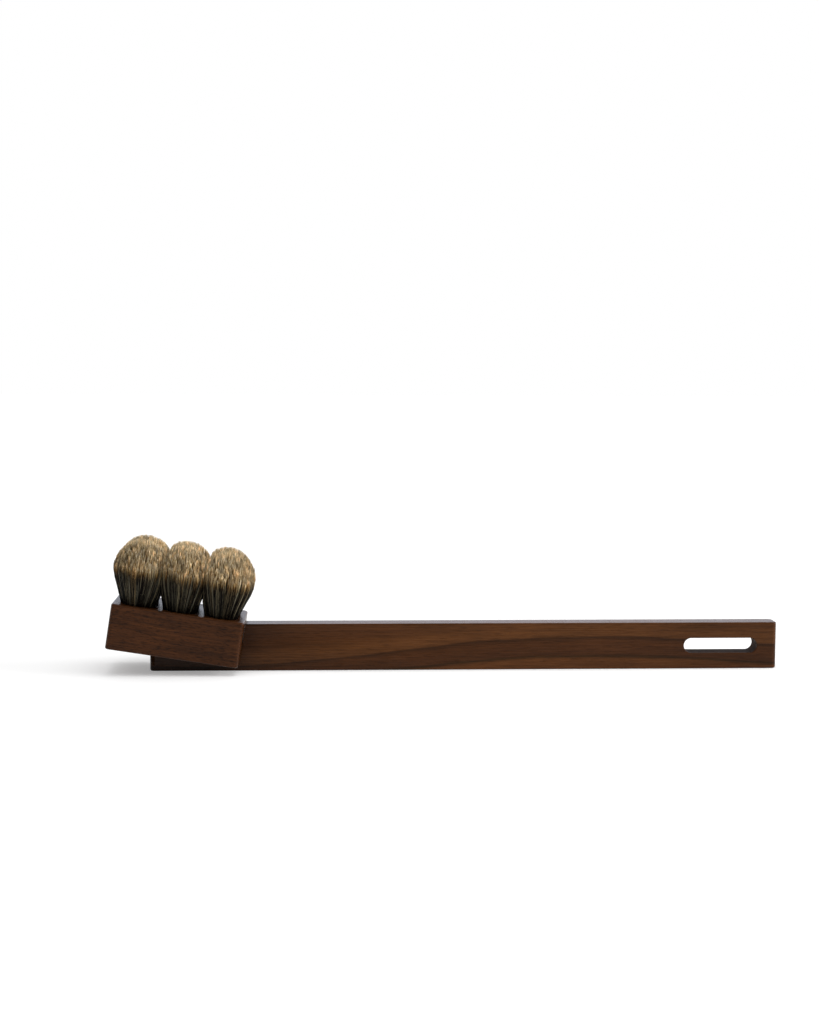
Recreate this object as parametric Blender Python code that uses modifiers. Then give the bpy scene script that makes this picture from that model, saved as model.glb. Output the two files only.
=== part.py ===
"""A long-handled clothes brush: a bar handle, a tilted head block and six soft knots of hair.

Lengths are in metres. +X runs along the handle towards its hanging slot, +Y points to the back
and +Z is up. The origin is at the middle of the handle's underside, which the brush stands on.

The head is built in a frame of its own, whose origin is at the heel: the middle of the head's
lower edge, on the side of the long handle. In that frame -X runs along the head to its toe
and +Z is the direction in which the hair stands.
"""
import math

import bmesh
import bpy
from mathutils import Matrix, Vector

MM = 0.001

# Between any two pieces that touch
CLEARANCE = 0.3 * MM

# Handle
HANDLE_LENGTH = 376 * MM
HANDLE_WIDTH = 14 * MM
HANDLE_HEIGHT = 28 * MM
HANDLE_EDGE = 0.9 * MM
HANDLE_CORNER = 3.0 * MM
SLOT_LENGTH = 44.4 * MM
SLOT_HEIGHT = 9.0 * MM
SLOT_INSET = 12.0 * MM

# Seat of the head on the handle
HEAD_TILT = math.radians(8.8)
HEAD_OVERLAP = 52.7 * MM
HEEL_RISE = 4.6 * MM
GROOVE_DEPTH = 12.0 * MM

# Sockets, and the wood left round them
SOCKET_RADIUS = 10.0 * MM
SOCKET_DEPTH = 12.0 * MM
SOCKET_FLOOR = 3.0 * MM
SOCKET_WEB = 4.5 * MM
END_WALL = 4.5 * MM
SIDE_WALL = 2.75 * MM
COLUMNS = ("toe", "middle", "heel")
ROWS = ("front", "back")

# Head block, sized by its sockets and its groove
TUFT_PITCH = 2 * SOCKET_RADIUS + SOCKET_WEB
HEAD_LENGTH = (len(COLUMNS) - 1) * TUFT_PITCH + 2 * (SOCKET_RADIUS + END_WALL)
HEAD_WIDTH = (len(ROWS) - 1) * TUFT_PITCH + 2 * (SOCKET_RADIUS + SIDE_WALL)
HEAD_HEIGHT = GROOVE_DEPTH + SOCKET_FLOOR + SOCKET_DEPTH
HEAD_EDGE = 1.0 * MM
HEAD_CORNER = 2.6 * MM

# Dowels that pin the head to the handle
DOWEL_RADIUS = 2.5 * MM
DOWEL_REACH = 9.0 * MM
DOWEL_CHAMFER = 0.5 * MM
DOWEL_WALL = 2.7 * MM

# Knot of hair: plug and binding at the root, then a flare to a round bulb, which is
# as wide as closes the gap in the middle of four knots
PLUG_THICKNESS = 3.0 * MM
BINDING_HEIGHT = 6.0 * MM
BINDING_THICKNESS = 1.0 * MM
COLLAR_RADIUS = SOCKET_RADIUS + 0.6 * MM
COLLAR_HEIGHT = 1.5 * MM
BULB_RADIUS = TUFT_PITCH / math.sqrt(2) - CLEARANCE
BULB_RISE = 21.0 * MM
HAIR_HEIGHT = 39.0 * MM

# Roundness of the meshes
SOCKET_SIDES = 32
TUFT_SIDES = 24
SLOT_SIDES = 32
DOWEL_SIDES = 16
CORNER_SEGMENTS = 4
EDGE_SEGMENTS = 2
FLARE_STEPS = 4
DOME_STEPS = 6

# How far a cutter runs past the faces that it opens
OVERRUN = 5 * MM
MERGE_DISTANCE = 0.001 * MM


def clear_scene():
    for old in list(bpy.data.objects):
        bpy.data.objects.remove(old, do_unlink=True)


def new_collection(name):
    collection = bpy.data.collections.new(name)
    bpy.context.scene.collection.children.link(collection)
    return collection


def new_material(name, colour, roughness, metallic=0.0):
    material = bpy.data.materials.new(name)
    material.use_nodes = True
    shader = material.node_tree.nodes["Principled BSDF"]
    shader.inputs["Base Color"].default_value = (*colour, 1.0)
    shader.inputs["Roughness"].default_value = roughness
    shader.inputs["Metallic"].default_value = metallic
    return material


def new_object(name, bm, collection, material=None, parent=None, location=(0, 0, 0)):
    mesh = bpy.data.meshes.new(name)
    bm.to_mesh(mesh)
    bm.free()
    piece = bpy.data.objects.new(name, mesh)
    piece.location = location
    piece.parent = parent
    collection.objects.link(piece)
    if material:
        mesh.materials.append(material)
        mesh.shade_smooth()
        mesh.set_sharp_from_angle(angle=math.radians(35))
    return piece


def as_cutter(cutter):
    cutter.hide_render = True
    cutter.display_type = "WIRE"
    return cutter


def boolean(piece, cutter, operation="DIFFERENCE"):
    modifier = piece.modifiers.new(cutter.name, "BOOLEAN")
    modifier.operation = operation
    modifier.object = cutter
    modifier.solver = "EXACT"


def box(low, high):
    """A bmesh box between two corners."""
    low, high = Vector(low), Vector(high)
    bm = bmesh.new()
    bmesh.ops.create_cube(bm, size=1.0)
    bmesh.ops.scale(bm, vec=high - low, verts=bm.verts)
    bmesh.ops.translate(bm, vec=(low + high) / 2, verts=bm.verts)
    return bm


def rounded_box(low, high, corner, edge):
    """A box whose upright edges are rounded by corner, and its rims by edge."""
    bm = box(low, high)
    upright = [e for e in bm.edges if abs((e.verts[0].co - e.verts[1].co).normalized().z) > 0.9]
    bmesh.ops.bevel(bm, geom=upright, offset=corner, segments=CORNER_SEGMENTS,
                    profile=0.5, affect="EDGES", material=-1)
    rims = [e for e in bm.edges if e.calc_face_angle() > math.radians(60)]
    bmesh.ops.bevel(bm, geom=rims, offset=edge, segments=EDGE_SEGMENTS,
                    profile=0.5, affect="EDGES", material=-1)
    return bm


def cylinder(radius, bottom, top, sides):
    """An upright bmesh cylinder on the Z axis."""
    bm = bmesh.new()
    bmesh.ops.create_cone(bm, cap_ends=True, segments=sides, radius1=radius, radius2=radius,
                          depth=top - bottom)
    bmesh.ops.translate(bm, vec=(0, 0, (top + bottom) / 2), verts=bm.verts)
    return bm


def turned(name, profile, sides, collection, material, parent, location):
    """A profile of (radius, height) points, top to bottom, turned about the Z axis.

    A profile that starts and ends on the axis makes a solid, and a closed one makes a ring.
    """
    bm = bmesh.new()
    points = [bm.verts.new((radius, 0, height)) for radius, height in profile]
    for upper, lower in zip(points, points[1:]):
        bm.edges.new((upper, lower))
    if profile[0][0] > 0:
        bm.edges.new((points[-1], points[0]))
    piece = new_object(name, bm, collection, material, parent, location)
    screw = piece.modifiers.new("turn", "SCREW")
    screw.steps = sides
    screw.render_steps = sides
    screw.use_merge_vertices = True
    screw.merge_threshold = MERGE_DISTANCE
    return piece


def make_handle(parts, cutters, material, head_frame):
    """The bar: a hanging slot at one end, and a tenon under the head at the other."""
    half_length = HANDLE_LENGTH / 2
    half_width = HANDLE_WIDTH / 2
    bar = rounded_box((-half_length, -half_width, 0), (half_length, half_width, HANDLE_HEIGHT),
                      HANDLE_CORNER, HANDLE_EDGE)
    handle = new_object("handle", bar, parts, material)

    # A cylinder lying across the bar, parted at its middle into a slot with round ends.
    # It is turned by half a side first, so that no corner lies on the line where it parts.
    bm = cylinder(SLOT_HEIGHT / 2, -half_width - OVERRUN, half_width + OVERRUN, SLOT_SIDES)
    half_side = Matrix.Rotation(math.pi / SLOT_SIDES, 3, "Z")
    bmesh.ops.rotate(bm, cent=(0, 0, 0), matrix=half_side, verts=bm.verts)
    straight = (SLOT_LENGTH - SLOT_HEIGHT) / 2
    for vertex in bm.verts:
        vertex.co.x += math.copysign(straight, vertex.co.x)
    slot = as_cutter(new_object("slot_cutter", bm, cutters))
    slot.rotation_euler.x = math.pi / 2
    slot.location.x = half_length - SLOT_INSET - SLOT_LENGTH / 2
    slot.location.z = HANDLE_HEIGHT / 2
    boolean(handle, slot)

    # All that stands above the tenon, back to the shoulder that meets the head's heel end
    above_tenon = as_cutter(new_object(
        "above_tenon_cutter",
        box((-HEAD_LENGTH - OVERRUN, -half_width - OVERRUN, GROOVE_DEPTH - CLEARANCE),
            (CLEARANCE, half_width + OVERRUN, HEAD_HEIGHT + HANDLE_HEIGHT)),
        cutters, parent=head_frame))
    boolean(handle, above_tenon)
    return handle


def make_head(parts, cutters, material, head_frame):
    """The block: a groove for the tenon in its underside. Its sockets are bored by the tufts."""
    half_width = HEAD_WIDTH / 2
    block = rounded_box((-HEAD_LENGTH, -half_width, 0), (0, half_width, HEAD_HEIGHT),
                        HEAD_CORNER, HEAD_EDGE)
    head = new_object("head_block", block, parts, material, head_frame)

    # The groove is the bar's own outline grown by the clearance, up to the groove's ceiling
    groove_half = HANDLE_WIDTH / 2 + CLEARANCE
    groove = as_cutter(new_object(
        "groove_cutter",
        box((-HANDLE_LENGTH / 2 - CLEARANCE, -groove_half, -OVERRUN),
            (0, groove_half, HANDLE_HEIGHT + OVERRUN)),
        cutters))
    above_groove = as_cutter(new_object(
        "above_groove_cutter",
        box((-2 * HEAD_LENGTH, -HEAD_WIDTH, GROOVE_DEPTH), (HANDLE_LENGTH, HEAD_WIDTH, HANDLE_LENGTH)),
        cutters, parent=head_frame))
    boolean(groove, above_groove)
    boolean(head, groove)
    return head


def make_dowels(parts, cutters, material, head_frame, handle, head):
    """Two upright pegs on the middle line, where four sockets leave wood between them."""
    low = GROOVE_DEPTH - DOWEL_REACH
    high = GROOVE_DEPTH + DOWEL_REACH
    between_tufts = -(END_WALL + SOCKET_RADIUS + TUFT_PITCH / 2)
    beside_heel = -(DOWEL_WALL + CLEARANCE + DOWEL_RADIUS)
    for name, along in (("dowel_middle", between_tufts), ("dowel_heel", beside_heel)):
        bm = cylinder(DOWEL_RADIUS, low, high, DOWEL_SIDES)
        rims = [e for e in bm.edges if e.calc_face_angle() > math.radians(60)]
        bmesh.ops.bevel(bm, geom=rims, offset=DOWEL_CHAMFER, segments=1,
                        profile=0.5, affect="EDGES", material=-1)
        new_object(name, bm, parts, material, head_frame, (along, 0, 0))
        hole = as_cutter(new_object(
            name + "_hole_cutter",
            cylinder(DOWEL_RADIUS + CLEARANCE, low - CLEARANCE, high + CLEARANCE, DOWEL_SIDES),
            cutters, parent=head_frame, location=(along, 0, 0)))
        boolean(handle, hole)
        boolean(head, hole)


def hair_profile(root_bottom, root_top, root_radius):
    """Half outline of a knot, dome to root, with heights counted from the head's top face."""
    dome = [(BULB_RADIUS * math.sin(turn), BULB_RISE + (HAIR_HEIGHT - BULB_RISE) * math.cos(turn))
            for turn in (math.pi / 2 * step / DOME_STEPS for step in range(DOME_STEPS))]
    flare = [(COLLAR_RADIUS + (BULB_RADIUS - COLLAR_RADIUS) * math.sin(math.pi / 2 * share),
              COLLAR_HEIGHT + (BULB_RISE - COLLAR_HEIGHT) * share)
             for share in (1 - step / FLARE_STEPS for step in range(FLARE_STEPS + 1))]
    throat = (SOCKET_RADIUS - CLEARANCE, 0)
    root = [(root_radius, root_top), (root_radius, root_bottom), (0, root_bottom)]
    return dome + flare + [throat] + root


def make_tuft(row, column, parts, cutters, materials, head_frame, head):
    """One knot of hair with its thread binding and resin plug, and the socket that holds them."""
    label = f"{ROWS[row]}_{COLUMNS[column]}"
    centre = Vector((-HEAD_LENGTH + END_WALL + SOCKET_RADIUS + column * TUFT_PITCH,
                     (row - (len(ROWS) - 1) / 2) * TUFT_PITCH,
                     HEAD_HEIGHT))

    socket = as_cutter(new_object(
        f"socket_{label}_cutter", cylinder(SOCKET_RADIUS, -SOCKET_DEPTH, OVERRUN, SOCKET_SIDES),
        cutters, parent=head_frame, location=centre))
    boolean(head, socket)

    held_radius = SOCKET_RADIUS - CLEARANCE
    plug_bottom = -SOCKET_DEPTH + CLEARANCE
    plug_top = plug_bottom + PLUG_THICKNESS
    new_object(f"root_plug_{label}", cylinder(held_radius, plug_bottom, plug_top, SOCKET_SIDES),
               parts, materials["resin"], head_frame, centre)

    root_bottom = plug_top + CLEARANCE
    binding_top = root_bottom + BINDING_HEIGHT
    binding_inner = held_radius - BINDING_THICKNESS
    turned(f"root_binding_{label}",
           [(held_radius, binding_top), (held_radius, root_bottom),
            (binding_inner, root_bottom), (binding_inner, binding_top)],
           SOCKET_SIDES, parts, materials["thread"], head_frame, centre)

    tuft = turned(f"hair_tuft_{label}",
                  hair_profile(root_bottom, binding_top, binding_inner - CLEARANCE),
                  TUFT_SIDES, parts, materials["hair"], head_frame, centre)

    # Neighbouring bulbs press each other flat half-way between their sockets
    half_cell = (TUFT_PITCH - CLEARANCE) / 2
    free = BULB_RADIUS + OVERRUN
    cell = as_cutter(new_object(
        f"cell_{label}_cutter",
        box((-half_cell if column > 0 else -free,
             -half_cell if row > 0 else -free,
             -SOCKET_DEPTH),
            (half_cell if column < len(COLUMNS) - 1 else free,
             half_cell if row < len(ROWS) - 1 else free,
             HAIR_HEIGHT + OVERRUN)),
        cutters, parent=head_frame, location=centre))
    boolean(tuft, cell, "INTERSECT")


def main():
    clear_scene()
    parts = new_collection("clothes_brush")
    cutters = new_collection("cutters")
    materials = {
        "handle": new_material("oiled_walnut_handle", (0.060, 0.026, 0.010), 0.42),
        "head": new_material("oiled_walnut_head", (0.045, 0.017, 0.010), 0.45),
        "dowel": new_material("beech", (0.50, 0.32, 0.17), 0.60),
        "hair": new_material("natural_hair", (0.30, 0.20, 0.11), 0.70),
        "thread": new_material("linen_thread", (0.45, 0.38, 0.27), 0.85),
        "resin": new_material("setting_resin", (0.22, 0.11, 0.03), 0.25),
    }

    head_frame = bpy.data.objects.new("head_frame", None)
    head_frame.location = (-HANDLE_LENGTH / 2 + HEAD_OVERLAP, 0, HEEL_RISE)
    head_frame.rotation_euler = (0, HEAD_TILT, 0)
    parts.objects.link(head_frame)

    handle = make_handle(parts, cutters, materials["handle"], head_frame)
    head = make_head(parts, cutters, materials["head"], head_frame)
    make_dowels(parts, cutters, materials["dowel"], head_frame, handle, head)
    for row in range(len(ROWS)):
        for column in range(len(COLUMNS)):
            make_tuft(row, column, parts, cutters, materials, head_frame, head)
    bpy.context.view_layer.update()


main()
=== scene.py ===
"""The looks of a long-handled clothes brush: oiled walnut handle and head, and knots of natural hair."""
import math

import bmesh
import bpy
import numpy as np
from mathutils import Matrix, Vector


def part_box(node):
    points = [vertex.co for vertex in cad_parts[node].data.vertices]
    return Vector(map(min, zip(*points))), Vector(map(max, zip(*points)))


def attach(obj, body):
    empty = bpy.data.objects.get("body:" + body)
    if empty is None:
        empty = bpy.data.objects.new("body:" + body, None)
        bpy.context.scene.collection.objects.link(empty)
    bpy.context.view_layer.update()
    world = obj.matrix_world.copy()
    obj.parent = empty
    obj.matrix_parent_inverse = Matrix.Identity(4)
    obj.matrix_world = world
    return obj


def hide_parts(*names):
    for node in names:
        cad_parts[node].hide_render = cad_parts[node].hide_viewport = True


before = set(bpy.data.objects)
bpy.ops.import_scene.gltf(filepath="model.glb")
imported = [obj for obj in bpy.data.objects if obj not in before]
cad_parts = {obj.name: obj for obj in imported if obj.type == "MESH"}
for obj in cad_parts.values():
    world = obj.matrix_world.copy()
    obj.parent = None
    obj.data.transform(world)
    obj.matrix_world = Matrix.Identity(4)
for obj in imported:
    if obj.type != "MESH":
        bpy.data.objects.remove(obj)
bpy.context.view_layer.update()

MM = 0.001
CLEARANCE = 0.3 * MM            # between pieces that fit each other

# Rounding of the wood, which the CAD has with fewer facets
HANDLE_EDGE = 0.9 * MM
HANDLE_CORNER = 3.0 * MM
HEAD_EDGE = 1.0 * MM
HEAD_CORNER = 2.6 * MM
SLOT_RIM = 0.6 * MM
SLOT_SIDES = 64
CORNER_SEGMENTS = 8
EDGE_SEGMENTS = 4
RIM_SEGMENTS = 3
SHARP = math.radians(60)
WELL_PAST = 0.1                 # metres, further than any piece reaches

# One knot of hair. Its strands are several times thicker than real hair, so that they show
STRANDS = 7000
STRAND_RADIUS = 0.155 * MM
STRAND_SIZES = (0.75, 1.25)     # the thinnest and the thickest, by that radius
STRAND_CUTS = (0.3, 0.55, 0.75, 0.9)
TAPER = 3.6                     # how fast the tips thin
BLUNT = 0.22                    # what keeps them thicker just below the point
ROOT_RADIUS = 9.0 * MM
ROOT_SINK = 3.0 * MM
CROWN_RISE = 18.0 * MM          # from the widest place to the dome's top
CROWN_ANGLE = 84                # degrees, from the dome's top down to its lowest tips
CROWN_WIDTH = 0.96              # of the knot's widest reach
CROWN_JITTER = 0.022
SIDE_WIDTH = 0.92               # of the same reach, where the outermost strands first head for
SIDE_JITTER = 0.9 * MM
LEAVE = 0.55                    # of a strand's length, how far it keeps on as it left the root
ARRIVE = 0.22                   # and how far before its tip it turns to the way it ends
TURN_IN = 0.3                   # slope of the outermost tips towards the middle
PRESS_JITTER = 0.25 * MM
LEAN = 1.3 * MM
LEAN_CURVE = 1.5

# Its locks and waves
LOCKS = 420
LOCK_PULL = 0.45
STRAY_SHARE = 0.02
STRAY_REACH = 0.5 * MM
WAVE = 0.22 * MM
WAVE_TURNS = (4, 9)             # radians along a strand
LOCK_WAVE = 0.5 * MM
LOCK_WAVE_TURN = 4

# Colour of the hair: how far along a strand its change comes sooner or later, and its tones
HAIR_SHIFT = 0.12
LOCK_SHIFT = 0.07
HAIR_TONES = (0.40, 1.55)
LOCK_TONES = (0.55, 1.35)
USUAL_SHARE = 0.70              # the other hairs are pale below

# Walnut, in millimetres along and across the grain. Real fibres and pores are finer than these,
# which are drawn coarse enough to show
RING_WAVE = (70, 16)
RING_SWING = 5.0
RING_SLOPE = 0.35               # of the growth lines, from the front of a piece to its back
CLOUD = (45, 9)
FIBRE = (28, 0.7)
FIBRE_TONES = (0.84, 1.14)
GRAIN_DEPTH = 0.06 * MM
NOISE_RANGE = (0.3, 0.7)        # where nearly all of a noise lies
PORE_RANGE = (0.54, 0.66)       # where a noise turns into a pore


# ---------------------------------------------------------------- reading the frame

def vertices_of(node):
    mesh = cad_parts[node].data
    places = np.empty(len(mesh.vertices) * 3)
    mesh.vertices.foreach_get("co", places)
    return places.reshape(-1, 3)


def middle(node):
    low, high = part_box(node)
    return (low + high) / 2


# The head's own directions: its X runs from the toe to the heel, and its Z along the hair
head_x = (middle("root_plug_front_heel") - middle("root_plug_front_toe")).normalized()
head_tilt = math.atan2(-head_x.z, head_x.x)
to_world = Matrix.Rotation(head_tilt, 3, "Y")
to_head = to_world.transposed()


def head_box(node):
    """A node's lowest and highest corners along the head's own directions."""
    places = vertices_of(node) @ np.array(to_head).T
    return Vector(places.min(0)), Vector(places.max(0))


handle_low, handle_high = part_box("handle")
head_low, head_high = head_box("head_block")

# The slot's corners are the only ones of the handle away from its rims on the +X side
rim = 0.2 * (handle_high.z - handle_low.z)
handle_points = vertices_of("handle")
beside_slot = ((handle_points[:, 0] > 0)
               & (handle_points[:, 2] > handle_low.z + rim)
               & (handle_points[:, 2] < handle_high.z - rim))
slot_low = Vector(handle_points[beside_slot].min(0))
slot_high = Vector(handle_points[beside_slot].max(0))


# ---------------------------------------------------------------- materials

def linear(hex_colour):
    """An sRGB hex colour as linear RGBA."""
    values = [int(hex_colour[i:i + 2], 16) / 255 for i in (1, 3, 5)]
    return (*[v / 12.92 if v <= 0.04045 else ((v + 0.055) / 1.055) ** 2.4 for v in values], 1.0)


def add(tree, kind, inputs=None, stops=None, **settings):
    """Adds a node with its settings, its inputs as values or sockets, and its ramp's stops."""
    node = tree.nodes.new(kind)
    for key, value in settings.items():
        setattr(node, key, value)
    for key, value in (inputs or {}).items():
        if isinstance(value, bpy.types.NodeSocket):
            tree.links.new(value, node.inputs[key])
        else:
            node.inputs[key].default_value = value
    if stops:
        elements = node.color_ramp.elements
        while len(elements) < len(stops):
            elements.new(0.5)
        for element, (position, colour) in zip(elements, stops):
            element.position = position
            element.color = linear(colour)
    return node


def new_material(name):
    material = bpy.data.materials.new(name)
    material.use_nodes = True
    tree = material.node_tree
    return material, tree, tree.nodes["Principled BSDF"]


def walnut(name, turn, figure, figure_span, crest, streak, tone, ends, pore_size, pore_depth, roughness):
    """Black walnut: a figure of growth lines, clouds of tone, streaks, fibres and open pores.

    turn is the angle about Y that brings the grain to X. crest lists how the growth lines climb
    along the grain, as (from, to, climb) in millimetres. figure is the ramp of colours across the
    growth lines, over figure_span millimetres. streak is a streak's length, its width and how
    dark and light it gets, and pore_size a pore's length and width. ends lists how the colour is
    darkened along the grain, as (from, to, tone before, tone after): on the bar, painted shade at
    its toe, where the head shades it, and a darker heel end.
    """
    material, tree, shader = new_material(name)
    place = add(tree, "ShaderNodeTexCoord").outputs["Object"]
    place = add(tree, "ShaderNodeVectorRotate", {"Vector": place, "Angle": turn},
                rotation_type="Y_AXIS").outputs[0]
    place = add(tree, "ShaderNodeVectorMath", {0: place, "Scale": 1 / MM}, operation="SCALE").outputs[0]
    part = add(tree, "ShaderNodeSeparateXYZ", {0: place})

    def grain(length, width, detail, roughness=0.5):
        """Noise drawn out along the grain, by the size of its spots in millimetres."""
        stretched = add(tree, "ShaderNodeVectorMath", {0: place, 1: (1 / length, 1 / width, 1 / width)},
                        operation="MULTIPLY").outputs[0]
        return add(tree, "ShaderNodeTexNoise", {"Vector": stretched, "Scale": 1.0, "Detail": detail,
                                                "Roughness": roughness}).outputs[0]

    # Growth lines: height across the grain, bent by slow waves and by the climb along the bar
    ring = add(tree, "ShaderNodeMath",
               {0: grain(*RING_WAVE, 3.0), 1: RING_SWING, 2: part.outputs["Z"]},
               operation="MULTIPLY_ADD").outputs[0]
    ring = add(tree, "ShaderNodeMath", {0: part.outputs["Y"], 1: RING_SLOPE, 2: ring},
               operation="MULTIPLY_ADD").outputs[0]
    for start, end, climb in crest:
        rise = add(tree, "ShaderNodeMapRange",
                   {"Value": part.outputs["X"], "From Min": start, "From Max": end,
                    "To Min": 0.0, "To Max": climb}, interpolation_type="SMOOTHSTEP").outputs[0]
        ring = add(tree, "ShaderNodeMath", {0: ring, 1: rise}, operation="SUBTRACT").outputs[0]
    across = add(tree, "ShaderNodeMapRange",
                 {"Value": ring, "From Min": figure_span[0], "From Max": figure_span[1]}).outputs[0]
    colour = add(tree, "ShaderNodeValToRGB", {"Fac": across}, stops=figure).outputs["Color"]

    # Clouds, streaks and fibres
    fibre = grain(*FIBRE, 3.0, 0.6)
    tones = []
    for noise, dark, light in ((grain(*CLOUD, 4.0), *tone),
                               (grain(*streak[:2], 3.0, 0.65), *streak[2:]),
                               (fibre, *FIBRE_TONES)):
        tones.append(add(tree, "ShaderNodeMapRange",
                         {"Value": noise, "From Min": NOISE_RANGE[0], "From Max": NOISE_RANGE[1],
                          "To Min": dark, "To Max": light}))

    # Open pores: short dark dashes along the grain
    pore = add(tree, "ShaderNodeMapRange",
               {"Value": grain(*pore_size, 2.0), "From Min": PORE_RANGE[0],
                "From Max": PORE_RANGE[1]}, interpolation_type="SMOOTHSTEP").outputs[0]
    tones.append(add(tree, "ShaderNodeMapRange", {"Value": pore, "To Min": 1.0,
                                                  "To Max": 1.0 - pore_depth}))
    # Painted shade: the colour is darkened along the grain where ends says, such as at the bar's toe
    # under the head
    for start, end, before, after in ends:
        tones.append(add(tree, "ShaderNodeMapRange",
                         {"Value": part.outputs["X"], "From Min": start, "From Max": end,
                          "To Min": before, "To Max": after}, interpolation_type="SMOOTHSTEP"))
    for node in tones:
        colour = add(tree, "ShaderNodeVectorMath", {0: colour, "Scale": node.outputs[0]},
                     operation="SCALE").outputs[0]
    tree.links.new(colour, shader.inputs["Base Color"])

    sheen = add(tree, "ShaderNodeMapRange",
                {"Value": fibre, "From Min": NOISE_RANGE[0], "From Max": NOISE_RANGE[1],
                 "To Min": roughness[0], "To Max": roughness[1]})
    tree.links.new(sheen.outputs[0], shader.inputs["Roughness"])
    height = add(tree, "ShaderNodeMath", {0: pore, 1: -1.0, 2: fibre},
                 operation="MULTIPLY_ADD").outputs[0]
    bump = add(tree, "ShaderNodeBump", {"Height": height, "Strength": 0.35, "Distance": GRAIN_DEPTH})
    tree.links.new(bump.outputs["Normal"], shader.inputs["Normal"])
    shader.inputs["IOR"].default_value = 1.47
    shader.inputs["Specular IOR Level"].default_value = 0.12
    return material


# Black walnut for the bar, planed, sanded and oiled: mid brown, with long dark growth lines that
# climb along it and a satin sheen that is strong only at a flat angle. Painted shade darkens its
# toe, under the head, and its heel end is a little darker
handle_walnut = walnut(
    "walnut_handle_oiled", 0.0,
    figure=[(0.00, "#583317"), (0.30, "#593418"), (0.345, "#35200b"), (0.38, "#482913"),
            (0.56, "#4e2c13"), (0.635, "#3c220e"), (0.665, "#5d381b"), (0.80, "#5f391b"),
            (1.0, "#522f15")],
    figure_span=(-20, 16), crest=((-140, 60, 16.0), (95, 200, -5.0)),
    streak=(60, 2.2, 0.80, 1.20), tone=(0.86, 1.12),
    # Painted shade: the first two darken the toe, where the head shades the bar; the last darkens the
    # heel end a little
    ends=((-145, -118, 0.65, 1.0), (-165, -35, 0.5, 1.0), (95, 150, 1.0, 0.82)),
    pore_size=(7.0, 0.45), pore_depth=0.25, roughness=(0.20, 0.32))

# Black walnut for the head, sanded and oiled: a darker and redder piece, cut so that its open
# pores show as many short dark dashes
head_walnut = walnut(
    "walnut_head_oiled", -head_tilt,
    figure=[(0.0, "#452610"), (0.2, "#3a200c"), (0.35, "#4a2811"), (0.5, "#371d0b"),
            (0.65, "#4a2911"), (0.8, "#3a210c"), (1.0, "#462710")],
    figure_span=(0, 60), crest=((-220, -120, 4.0),),
    streak=(20, 1.3, 0.54, 1.42), tone=(0.82, 1.16), ends=(),
    pore_size=(3.0, 0.6), pore_depth=0.5, roughness=(0.22, 0.34))

# The handle's walnut where the slot is routed and only sanded by hand: rougher, drier and dull,
# and coloured a darker brown than the bar's outer faces
routed_walnut = walnut(
    "walnut_slot_routed", 0.0,
    figure=[(0.0, "#3b220f"), (1.0, "#3f2511")],
    figure_span=(-24, 12), crest=(),
    streak=(30, 1.5, 0.8, 1.15), tone=(0.85, 1.1), ends=(),
    pore_size=(4.0, 0.5), pore_depth=0.4, roughness=(0.65, 0.8))
routed_walnut.node_tree.nodes["Principled BSDF"].inputs["Specular IOR Level"].default_value = 0.08


def ringed(name, colours, width, length, roughness, bump_depth):
    """A plain finish of fine lines: beech grain, wound thread or brushed resin, by its two colours."""
    material, tree, shader = new_material(name)
    place = add(tree, "ShaderNodeTexCoord").outputs["Object"]
    size = tuple(1 / (part * MM) for part in (length, width, width))
    place = add(tree, "ShaderNodeVectorMath", {0: place, 1: size}, operation="MULTIPLY").outputs[0]
    noise = add(tree, "ShaderNodeTexNoise", {"Vector": place, "Scale": 1.0, "Detail": 3.0}).outputs[0]
    ramp = add(tree, "ShaderNodeValToRGB", {"Fac": noise},
               stops=[(0.35, colours[0]), (0.65, colours[1])])
    tree.links.new(ramp.outputs["Color"], shader.inputs["Base Color"])
    bump = add(tree, "ShaderNodeBump", {"Height": noise, "Strength": 0.4, "Distance": bump_depth * MM})
    tree.links.new(bump.outputs["Normal"], shader.inputs["Normal"])
    shader.inputs["Roughness"].default_value = roughness
    return material


# Steamed beech, turned: pale pink-brown with short flecks along its length
dowel_beech = ringed("beech_dowel_turned", ("#b98d62", "#caa27a"), 0.5, 4.0, 0.6, 0.05)
# Waxed linen thread, wound in close turns about 0.4 mm apart
binding_thread = ringed("linen_thread_waxed", ("#8d7f66", "#b3a588"), 0.4, 3.0, 0.8, 0.15)
# Epoxy setting resin, poured: amber brown and slightly uneven
setting_resin = ringed("setting_resin_cured", ("#4a3116", "#5d4020"), 2.0, 2.0, 0.3, 0.05)


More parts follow.
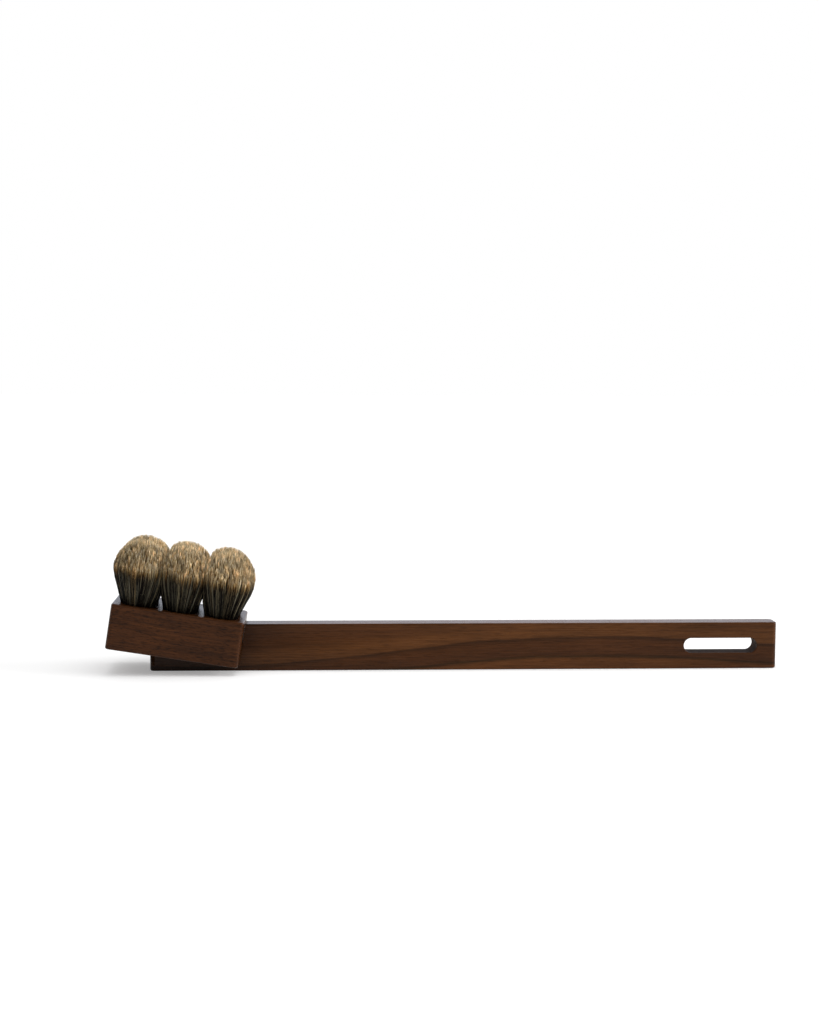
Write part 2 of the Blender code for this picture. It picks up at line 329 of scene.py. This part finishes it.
def natural_hair():
    """Natural hair, washed and sorted: near black below, brown above it and cream at the tip.

    Some hairs are grey-beige below instead. The strand map holds a number of the strand's own, in
    U, and how far along it a point is, in V. The lock map holds two numbers of its lock's own.
    """
    material, tree, shader = new_material("natural_hair")
    strand_map = add(tree, "ShaderNodeUVMap", uv_map="strand").outputs[0]
    own, along = add(tree, "ShaderNodeSeparateXYZ", {0: strand_map}).outputs[:2]
    lock_map = add(tree, "ShaderNodeUVMap", uv_map="lock").outputs[0]
    lock_tone, lock_shift = add(tree, "ShaderNodeSeparateXYZ", {0: lock_map}).outputs[:2]
    draws = add(tree, "ShaderNodeTexWhiteNoise", {"W": own}, noise_dimensions="1D").outputs["Color"]
    hair_shift, hair_kind, hair_tone = add(tree, "ShaderNodeSeparateXYZ", {0: draws}).outputs[:]

    # The change of colour comes a little higher or lower on each hair and each lock
    place = along
    for value, swing in ((hair_shift, HAIR_SHIFT), (lock_shift, LOCK_SHIFT)):
        shift = add(tree, "ShaderNodeMapRange", {"Value": value, "To Min": -swing, "To Max": swing})
        place = add(tree, "ShaderNodeMath", {0: place, 1: shift.outputs[0]},
                    operation="ADD").outputs[0]
    usual = add(tree, "ShaderNodeValToRGB", {"Fac": place}, stops=[
        (0.00, "#030100"), (0.57, "#0b0502"), (0.725, "#20160b"), (0.82, "#5f4626"),
        (0.89, "#9c7e4e"), (0.945, "#c9ab7a"), (1.00, "#f4e2bd")]).outputs["Color"]
    pale = add(tree, "ShaderNodeValToRGB", {"Fac": place}, stops=[
        (0.00, "#3c382f"), (0.30, "#77715e"), (0.68, "#827963"), (0.89, "#bea67c"),
        (1.00, "#f8eacb")]).outputs["Color"]
    is_pale = add(tree, "ShaderNodeMath", {0: hair_kind, 1: USUAL_SHARE},
                  operation="GREATER_THAN").outputs[0]
    colour = add(tree, "ShaderNodeMix", {"Factor": is_pale, "A": usual, "B": pale},
                 data_type="RGBA").outputs["Result"]
    warmth = add(tree, "ShaderNodeValToRGB", {"Fac": lock_shift}, stops=[
        (0.2, "#f6f9ff"), (0.6, "#fffaf0"), (0.95, "#ffecd6")]).outputs["Color"]
    colour = add(tree, "ShaderNodeVectorMath", {0: colour, 1: warmth}, operation="MULTIPLY").outputs[0]
    for value, dark, light in ((hair_tone, *HAIR_TONES), (lock_tone, *LOCK_TONES)):
        tone = add(tree, "ShaderNodeMapRange", {"Value": value, "To Min": dark, "To Max": light})
        colour = add(tree, "ShaderNodeVectorMath", {0: colour, "Scale": tone.outputs[0]},
                     operation="SCALE").outputs[0]
    tree.links.new(colour, shader.inputs["Base Color"])
    shader.inputs["Roughness"].default_value = 0.55
    shader.inputs["Specular IOR Level"].default_value = 0.08
    return material


# Washed animal hair, tied into knots: its scales leave it nearly matt, and its pale tips stand out
hair = natural_hair()


# ---------------------------------------------------------------- making pieces

def new_piece(name, bm, material):
    mesh = bpy.data.meshes.new(name)
    bm.to_mesh(mesh)
    bm.free()
    mesh.materials.append(material)
    piece = bpy.data.objects.new(name, mesh)
    bpy.context.scene.collection.objects.link(piece)
    return piece


def box(low, high):
    low, high = Vector(low), Vector(high)
    bm = bmesh.new()
    bmesh.ops.create_cube(bm, size=1.0)
    bmesh.ops.scale(bm, vec=high - low, verts=bm.verts)
    bmesh.ops.translate(bm, vec=(low + high) / 2, verts=bm.verts)
    return bm


def rounded_box(low, high, corner, edge):
    """A box whose upright edges are rounded by corner, and its rims by edge."""
    bm = box(low, high)
    upright = [e for e in bm.edges if abs((e.verts[0].co - e.verts[1].co).normalized().z) > 0.9]
    bmesh.ops.bevel(bm, geom=upright, offset=corner, segments=CORNER_SEGMENTS,
                    profile=0.5, affect="EDGES", material=-1)
    rims = [e for e in bm.edges if e.calc_face_angle() > SHARP]
    bmesh.ops.bevel(bm, geom=rims, offset=edge, segments=EDGE_SEGMENTS,
                    profile=0.5, affect="EDGES", material=-1)
    return bm


def turned_to_world(bm):
    bmesh.ops.rotate(bm, cent=(0, 0, 0), matrix=to_world, verts=bm.verts)
    return bm


def cut(piece, bm):
    """Takes a bmesh solid away from a piece, for good."""
    cutter = new_piece("cutter", bm, None)
    modifier = piece.modifiers.new("cut", "BOOLEAN")
    modifier.operation = "DIFFERENCE"
    modifier.object = cutter
    modifier.solver = "EXACT"
    finished = piece.evaluated_get(bpy.context.evaluated_depsgraph_get())
    shape = bpy.data.meshes.new_from_object(finished)
    piece.modifiers.clear()
    piece.data = shape
    bpy.data.objects.remove(cutter)


def give_slot_material(piece, low, high, material):
    """Gives the faces inside a box a second material."""
    piece.data.materials.append(material)
    for face in piece.data.polygons:
        if all(a < c < b for a, c, b in zip(low, face.center, high)):
            face.material_index = 1


def finish_wood(piece, node):
    """Smooth shading that keeps the planed faces flat, and the piece's place in the frame."""
    piece.data.shade_smooth()
    normals = piece.modifiers.new("planed_faces", "WEIGHTED_NORMAL")
    normals.keep_sharp = True
    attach(piece, "root")
    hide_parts(node)


def tenon_top_of_handle():
    """Height of the tenon's top in the head's directions: the bar's highest point under the head."""
    points = vertices_of("handle") @ np.array(to_head).T
    return float(points[points[:, 0] < head_high.x, 2].max())


def make_handle():
    piece = new_piece("walnut_handle", rounded_box(handle_low, handle_high, HANDLE_CORNER, HANDLE_EDGE),
                      handle_walnut)

    # The slot: a cylinder across the bar, parted at its middle
    radius = (slot_high.z - slot_low.z) / 2
    half_width = (handle_high.y - handle_low.y) / 2
    straight = (slot_high.x - slot_low.x) / 2 - radius
    slot = bmesh.new()
    bmesh.ops.create_cone(slot, cap_ends=True, segments=SLOT_SIDES, radius1=radius, radius2=radius,
                          depth=4 * half_width)
    bmesh.ops.rotate(slot, cent=(0, 0, 0), verts=slot.verts,
                     matrix=Matrix.Rotation(math.pi / SLOT_SIDES, 3, "Z"))
    for vertex in slot.verts:
        vertex.co.x += math.copysign(straight, vertex.co.x)
    bmesh.ops.rotate(slot, cent=(0, 0, 0), verts=slot.verts,
                     matrix=Matrix.Rotation(math.pi / 2, 3, "X"))
    bmesh.ops.translate(slot, vec=((slot_low.x + slot_high.x) / 2, 0, (slot_low.z + slot_high.z) / 2),
                        verts=slot.verts)
    cut(piece, slot)

    # Its rims are rounded where they meet the bar's sides
    bm = bmesh.new()
    bm.from_mesh(piece.data)
    rims = [e for e in bm.edges
            if e.is_manifold and e.calc_face_angle() > SHARP
            and slot_low.x - MM < min(v.co.x for v in e.verts)
            and max(v.co.x for v in e.verts) < slot_high.x + MM
            and all(abs(abs(v.co.y) - half_width) < 0.01 * MM for v in e.verts)]
    bmesh.ops.bevel(bm, geom=rims, offset=SLOT_RIM, segments=RIM_SEGMENTS,
                    profile=0.5, affect="EDGES", material=-1)
    bm.to_mesh(piece.data)
    bm.free()

    inside = Vector((0.1 * MM, SLOT_RIM - half_width, 0.1 * MM))
    give_slot_material(piece, (slot_low.x - inside.x, inside.y, slot_low.z - inside.z),
                       (slot_high.x + inside.x, -inside.y, slot_high.z + inside.z), routed_walnut)

    # The tenon that the head sits on
    tenon_top = head_box("root_plug_front_heel")[0].z
    above = box((head_low.x - WELL_PAST, -2 * half_width, tenon_top_of_handle()),
                (head_high.x + CLEARANCE, 2 * half_width, tenon_top + WELL_PAST))
    cut(piece, turned_to_world(above))
    finish_wood(piece, "handle")


def make_head():
    piece = new_piece("walnut_head", turned_to_world(
        rounded_box(head_low, head_high, HEAD_CORNER, HEAD_EDGE)), head_walnut)
    groove_half = handle_high.y + CLEARANCE
    groove_top = tenon_top_of_handle() + CLEARANCE
    bar_end = box((handle_low.x - CLEARANCE, -groove_half, -WELL_PAST), (0, groove_half, WELL_PAST))
    bmesh.ops.bisect_plane(bar_end, geom=bar_end.verts[:] + bar_end.edges[:] + bar_end.faces[:],
                           plane_co=to_world @ Vector((0, 0, groove_top)),
                           plane_no=to_world @ Vector((0, 0, 1)), clear_outer=True)
    bmesh.ops.holes_fill(bar_end, edges=bar_end.edges)
    cut(piece, bar_end)
    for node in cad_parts:
        if node.startswith("root_plug"):
            low, high = head_box(node)
            socket_radius = (high.y - low.y) / 2 + CLEARANCE
            bottom = low.z - CLEARANCE
            bm = bmesh.new()
            bmesh.ops.create_cone(bm, cap_ends=True, segments=SLOT_SIDES, radius1=socket_radius,
                                  radius2=socket_radius, depth=2 * (head_high.z - bottom))
            centre = (low + high) / 2
            bmesh.ops.translate(bm, vec=(centre.x, centre.y, head_high.z), verts=bm.verts)
            cut(piece, turned_to_world(bm))
    finish_wood(piece, "head_block")


UP = np.array([0.0, 0.0, 1.0])


def strand_template():
    """A slim three-sided cone of height 1, cut across where a strand may bend."""
    bm = bmesh.new()
    bmesh.ops.create_cone(bm, cap_ends=True, segments=3, radius1=1, radius2=0, depth=1)
    bmesh.ops.translate(bm, vec=(0, 0, 0.5), verts=bm.verts)
    for height in STRAND_CUTS:
        bmesh.ops.bisect_plane(bm, geom=bm.verts[:] + bm.edges[:] + bm.faces[:],
                               plane_co=(0, 0, height), plane_no=(0, 0, 1))
    bmesh.ops.remove_doubles(bm, verts=bm.verts, dist=1e-5)
    bmesh.ops.triangulate(bm, faces=bm.faces)
    places = np.array([v.co for v in bm.verts])
    faces = np.array([[v.index for v in f.verts] for f in bm.faces])
    bm.free()
    return places, faces


def soft_limit(value, limit, knee=0.8):
    """Leaves value alone up to knee times limit, then eases it towards the limit."""
    start = knee * limit
    over = np.maximum(value - start, 0)
    room = limit - start
    return np.minimum(value, start) + room * np.tanh(over / room)


def strand_ends(rng, bulb, shoulder):
    """Where each strand leaves the socket and ends on the dome, its way out, share and lock."""
    # Tips cover the dome evenly, from its top to just above its widest place
    height_share = rng.uniform(0, 1, STRANDS)
    turn = rng.uniform(0, 2 * np.pi, STRANDS)
    out = np.stack([np.cos(turn), np.sin(turn), np.zeros(STRANDS)], 1)
    fall = np.arccos(1 - height_share * (1 - math.cos(math.radians(CROWN_ANGLE))))
    share = np.sqrt(height_share)
    reach = 1 + rng.normal(0, CROWN_JITTER, STRANDS)
    tip = (out * (CROWN_WIDTH * bulb * np.sin(fall) * reach)[:, None]
           + UP * (shoulder + CROWN_RISE * np.cos(fall) * reach)[:, None])

    # Neighbours in a lock draw together towards their tips
    heads = tip[rng.integers(0, STRANDS, LOCKS)]
    gap = np.linalg.norm(tip[:, None, :] - heads[None, :, :], axis=2)
    lock = gap.argmin(1)
    pull = rng.uniform(0.0, LOCK_PULL, LOCKS)[lock]
    tip = tip + (heads[lock] - tip) * pull[:, None]

    # A few strands stray
    stray = rng.uniform(0, 1, STRANDS) < STRAY_SHARE
    tip[stray] += rng.normal(0, STRAY_REACH, (stray.sum(), 3))

    root = out * (ROOT_RADIUS * share)[:, None] - UP * ROOT_SINK
    return root, tip, out, share, lock


def strand_paths(rng, t, root, tip, out, share, lock, bulb, shoulder):
    """Each strand's curve at the heights t of the template, and its direction there."""
    side = out * (SIDE_WIDTH * bulb * share)[:, None] + UP * shoulder
    side[:, :2] += rng.normal(0, SIDE_JITTER, (STRANDS, 2))
    length = np.linalg.norm(tip - root, axis=1)
    leave = (side - root) / np.linalg.norm(side - root, axis=1)[:, None]
    arrive = UP - out * (TURN_IN * share ** 2)[:, None]
    bend_low = root + leave * (LEAVE * length)[:, None]
    bend_high = tip - arrive * (ARRIVE * length)[:, None]

    path = ((1 - t) ** 3 * root[:, None] + 3 * (1 - t) ** 2 * t * bend_low[:, None]
            + 3 * (1 - t) * t ** 2 * bend_high[:, None] + t ** 3 * tip[:, None])
    tangent = (3 * (1 - t) ** 2 * (bend_low - root)[:, None]
               + 6 * (1 - t) * t * (bend_high - bend_low)[:, None]
               + 3 * t ** 2 * (tip - bend_high)[:, None])
    tangent /= np.linalg.norm(tangent, axis=2, keepdims=True)

    # Fine waves of its own on each strand, and of its lock's
    phase = rng.uniform(0, 2 * np.pi, (STRANDS, 1, 2))
    path[:, :, :2] += WAVE * np.sin(t * rng.uniform(*WAVE_TURNS, (STRANDS, 1, 1)) + phase) * t
    phase = rng.uniform(0, 2 * np.pi, (LOCKS, 1, 2))[lock]
    path[:, :, :2] += LOCK_WAVE * np.sin(t * LOCK_WAVE_TURN + phase) * t * (1 - t)
    return path, tangent


def press_flat(path, row, column, limit):
    """Flattens a bulb half-way to each neighbour: those towards the toe and heel, and the other row's."""
    if column != "toe":
        path[:, :, 0] = -soft_limit(-path[:, :, 0], limit)
    if column != "heel":
        path[:, :, 0] = soft_limit(path[:, :, 0], limit)
    if row == "front":
        path[:, :, 1] = soft_limit(path[:, :, 1], limit)
    else:
        path[:, :, 1] = -soft_limit(-path[:, :, 1], limit)


def strand_skins(rng, t, places, tangent, out):
    """How far each point of each strand stands off its curve: full for most of it, then a fine tip."""
    sizes = rng.uniform(*STRAND_SIZES, (STRANDS, 1, 1))
    thickness = STRAND_RADIUS * sizes * np.minimum(1, TAPER * (1 - t) + BLUNT)
    spoke_length = np.maximum(np.linalg.norm(places[:, :2], axis=1), 1e-9)
    spoke = places[None, :, :2] / spoke_length[None, :, None]
    first = np.cross(tangent, out[:, None] + 0.01)
    first /= np.linalg.norm(first, axis=2, keepdims=True)
    second = np.cross(tangent, first)
    at_tip = (places[:, 2] > 0.9999)[None, :, None]
    return (first * spoke[:, :, :1] + second * spoke[:, :, 1:]) * thickness * ~at_tip


def hair_mesh(name, points, faces, maps):
    """A mesh of all the strands, with its two maps given point by point."""
    mesh = bpy.data.meshes.new(name)
    mesh.vertices.add(len(points))
    mesh.vertices.foreach_set("co", points.ravel())
    mesh.loops.add(faces.size)
    mesh.loops.foreach_set("vertex_index", faces.ravel())
    mesh.polygons.add(len(faces))
    mesh.polygons.foreach_set("loop_start", np.arange(0, faces.size, 3))
    mesh.update(calc_edges=True)
    for map_name, values in maps.items():
        layer = mesh.uv_layers.new(name=map_name)
        layer.uv.foreach_set("vector", values[faces.ravel()].ravel())
    mesh.materials.append(hair)
    mesh.shade_smooth()
    return mesh


def make_knot(label, row, column, template, seed):
    """One knot: strands that leave the socket together, spread like a cone and end on a dome."""
    rng = np.random.default_rng(seed)
    places, faces = template
    plug_low, plug_high = head_box("root_plug_" + label)
    tuft_low, tuft_high = head_box("hair_tuft_" + label)
    base = Vector(((plug_low.x + plug_high.x) / 2, (plug_low.y + plug_high.y) / 2, head_high.z))
    top = tuft_high.z - base.z
    shoulder = top - CROWN_RISE
    side_reach = (abs(tuft_high.y - base.y), abs(tuft_low.y - base.y))
    bulb, half_cell = max(side_reach), min(side_reach)

    t = places[:, 2][None, :, None]
    root, tip, out, share, lock = strand_ends(rng, bulb, shoulder)
    path, tangent = strand_paths(rng, t, root, tip, out, share, lock, bulb, shoulder)

    # The whole knot has settled a little towards the toe
    path[:, :, 0] -= LEAN * np.clip(path[:, :, 2] / top, 0, 1) ** LEAN_CURVE
    press_flat(path, row, column, half_cell + rng.normal(0, PRESS_JITTER, (STRANDS, 1)))
    skin = strand_skins(rng, t, places, tangent, out)
    points = ((path + skin).reshape(-1, 3) + np.array(base)) @ np.array(to_world).T

    first_points = (np.arange(STRANDS) * len(places))[:, None, None]
    own = np.repeat(rng.uniform(0, 1, STRANDS), len(places))
    along = np.tile(places[:, 2], STRANDS)
    lock_numbers = np.repeat(rng.uniform(0, 1, (LOCKS, 2))[lock], len(places), axis=0)
    mesh = hair_mesh("hair_" + label, points, (faces[None] + first_points).reshape(-1, 3),
                     {"strand": np.stack([own, along], 1), "lock": lock_numbers})
    piece = bpy.data.objects.new("hair_" + label, mesh)
    bpy.context.scene.collection.objects.link(piece)
    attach(piece, "root")
    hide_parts("hair_tuft_" + label)


def finish_hidden_pieces():
    """The pieces inside keep their CAD shapes."""
    finishes = {"dowel": dowel_beech, "root_binding": binding_thread, "root_plug": setting_resin}
    for name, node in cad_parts.items():
        for start, material in finishes.items():
            if name.startswith(start):
                node.material_slots[0].material = material


make_handle()
make_head()
finish_hidden_pieces()
template = strand_template()
for number, node in enumerate(sorted(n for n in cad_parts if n.startswith("hair_tuft_"))):
    label = node.removeprefix("hair_tuft_")
    row, column = label.split("_")
    make_knot(label, row, column, template, seed=number)


# ---------------------------------------------------------------- floor, light and camera

FLOOR_SIZE = 12.0
FLOOR_DROP = 0.1 * MM
FLOOR_LIFT = 0.29               # glow near the brush
FLOOR_FADE = (0.35, 1.5)        # metres from the middle, between which it whitens
AMBIENT = (0.17, 0.76)          # at the horizon and overhead
MIRRORED = (0.03, 1.25)         # what gloss shows of the front and the back of the studio

CAMERA_PLACE = (-84.8 * MM, -1025.0 * MM, 191.2 * MM)
CAMERA_YAW = 2.85               # degrees to the right
CAMERA_PITCH = 5.40             # degrees down
CAMERA_ROLL = 0.24              # degrees
CAMERA_LENS = 60.74             # millimetres, behind a sensor of this height
SENSOR_HEIGHT = 36.0


def make_floor():
    """A pale paper floor, which whitens into the background away from the brush."""
    bm = bmesh.new()
    bmesh.ops.create_grid(bm, x_segments=1, y_segments=1, size=FLOOR_SIZE / 2)
    bmesh.ops.translate(bm, vec=(0, 0, -FLOOR_DROP), verts=bm.verts)
    material, tree, shader = new_material("pale_paper")
    shader.inputs["Base Color"].default_value = linear("#ececec")
    shader.inputs["Roughness"].default_value = 0.9
    shader.inputs["Specular IOR Level"].default_value = 0.0
    place = add(tree, "ShaderNodeTexCoord").outputs["Object"]
    away = add(tree, "ShaderNodeVectorMath", {0: place}, operation="LENGTH").outputs["Value"]
    lift = add(tree, "ShaderNodeMapRange",
               {"Value": away, "From Min": FLOOR_FADE[0], "From Max": FLOOR_FADE[1],
                "To Min": FLOOR_LIFT, "To Max": 1.0}).outputs[0]
    paths = add(tree, "ShaderNodeLightPath").outputs
    seen = paths["Is Camera Ray"]
    for other in ("Is Glossy Ray", "Is Transmission Ray"):
        seen = add(tree, "ShaderNodeMath", {0: seen, 1: paths[other]}, operation="MAXIMUM").outputs[0]
    lift = add(tree, "ShaderNodeMath", {0: lift, 1: seen}, operation="MULTIPLY").outputs[0]
    glow = add(tree, "ShaderNodeEmission", {"Color": (1, 1, 1, 1), "Strength": lift})
    both = add(tree, "ShaderNodeAddShader", {0: shader.outputs[0], 1: glow.outputs[0]})
    tree.links.new(both.outputs[0], tree.nodes["Material Output"].inputs["Surface"])
    floor = new_piece("floor", bm, material)


def make_world():
    """White where it is seen, soft light from above, and a bright back wall in what gloss shows."""
    world = bpy.data.worlds.new("studio")
    bpy.context.scene.world = world
    world.use_nodes = True
    tree = world.node_tree
    background = tree.nodes["Background"]
    paths = add(tree, "ShaderNodeLightPath").outputs
    direction = add(tree, "ShaderNodeTexCoord").outputs["Generated"]
    part = add(tree, "ShaderNodeSeparateXYZ", {0: direction})
    mirrored = add(tree, "ShaderNodeMapRange",
                   {"Value": part.outputs["Y"], "From Min": -0.5, "From Max": 0.9,
                    "To Min": MIRRORED[0], "To Max": MIRRORED[1]},
                   interpolation_type="SMOOTHSTEP").outputs[0]
    ambient = add(tree, "ShaderNodeMapRange", {"Value": part.outputs["Z"], "To Min": AMBIENT[0],
                                               "To Max": AMBIENT[1]}).outputs[0]
    strength = add(tree, "ShaderNodeMix",
                   {"Factor": paths["Is Glossy Ray"], "A": ambient, "B": mirrored})
    seen = add(tree, "ShaderNodeMath", {0: paths["Is Camera Ray"], 1: paths["Is Transmission Ray"]},
               operation="MAXIMUM").outputs[0]
    strength = add(tree, "ShaderNodeMix", {"Factor": seen, "A": strength.outputs[0], "B": 1.0})
    tree.links.new(strength.outputs[0], background.inputs["Strength"])
    tint = add(tree, "ShaderNodeMix",
               {"Factor": paths["Is Glossy Ray"], "A": (1, 1, 1, 1), "B": linear("#eef3ff")},
               data_type="RGBA")
    tree.links.new(tint.outputs["Result"], background.inputs["Color"])


def make_light(name, place, target, size, power):
    """A softbox that faces its target."""
    data = bpy.data.lights.new(name, "AREA")
    data.shape = "RECTANGLE"
    data.size, data.size_y = size
    data.energy = power
    light = bpy.data.objects.new(name, data)
    light.location = place
    light.rotation_euler = (Vector(target) - Vector(place)).to_track_quat("-Z", "Y").to_euler()
    bpy.context.scene.collection.objects.link(light)


def make_camera():
    """Stands a metre in front of the brush, a little above it and left of its middle."""
    data = bpy.data.cameras.new("camera")
    data.sensor_fit = "VERTICAL"
    data.sensor_height = SENSOR_HEIGHT
    data.lens = CAMERA_LENS
    camera = bpy.data.objects.new("camera", data)
    camera.matrix_world = (Matrix.Translation(CAMERA_PLACE)
                           @ Matrix.Rotation(-math.radians(CAMERA_YAW), 4, "Z")
                           @ Matrix.Rotation(math.pi / 2 - math.radians(CAMERA_PITCH), 4, "X")
                           @ Matrix.Rotation(math.radians(CAMERA_ROLL), 4, "Z"))
    bpy.context.scene.collection.objects.link(camera)
    bpy.context.scene.camera = camera


make_floor()
make_world()
make_light("softbox_overhead", place=(0.2, -0.25, 1.8), target=(-0.02, 0, 0), size=(1.8, 1.4),
           power=12.5)
make_light("softbox_right", place=(2.3, -0.4, 0.75), target=(-0.05, 0, 0), size=(1.4, 0.9),
           power=40.0)
make_camera()
bpy.context.scene.view_settings.view_transform = "Standard"
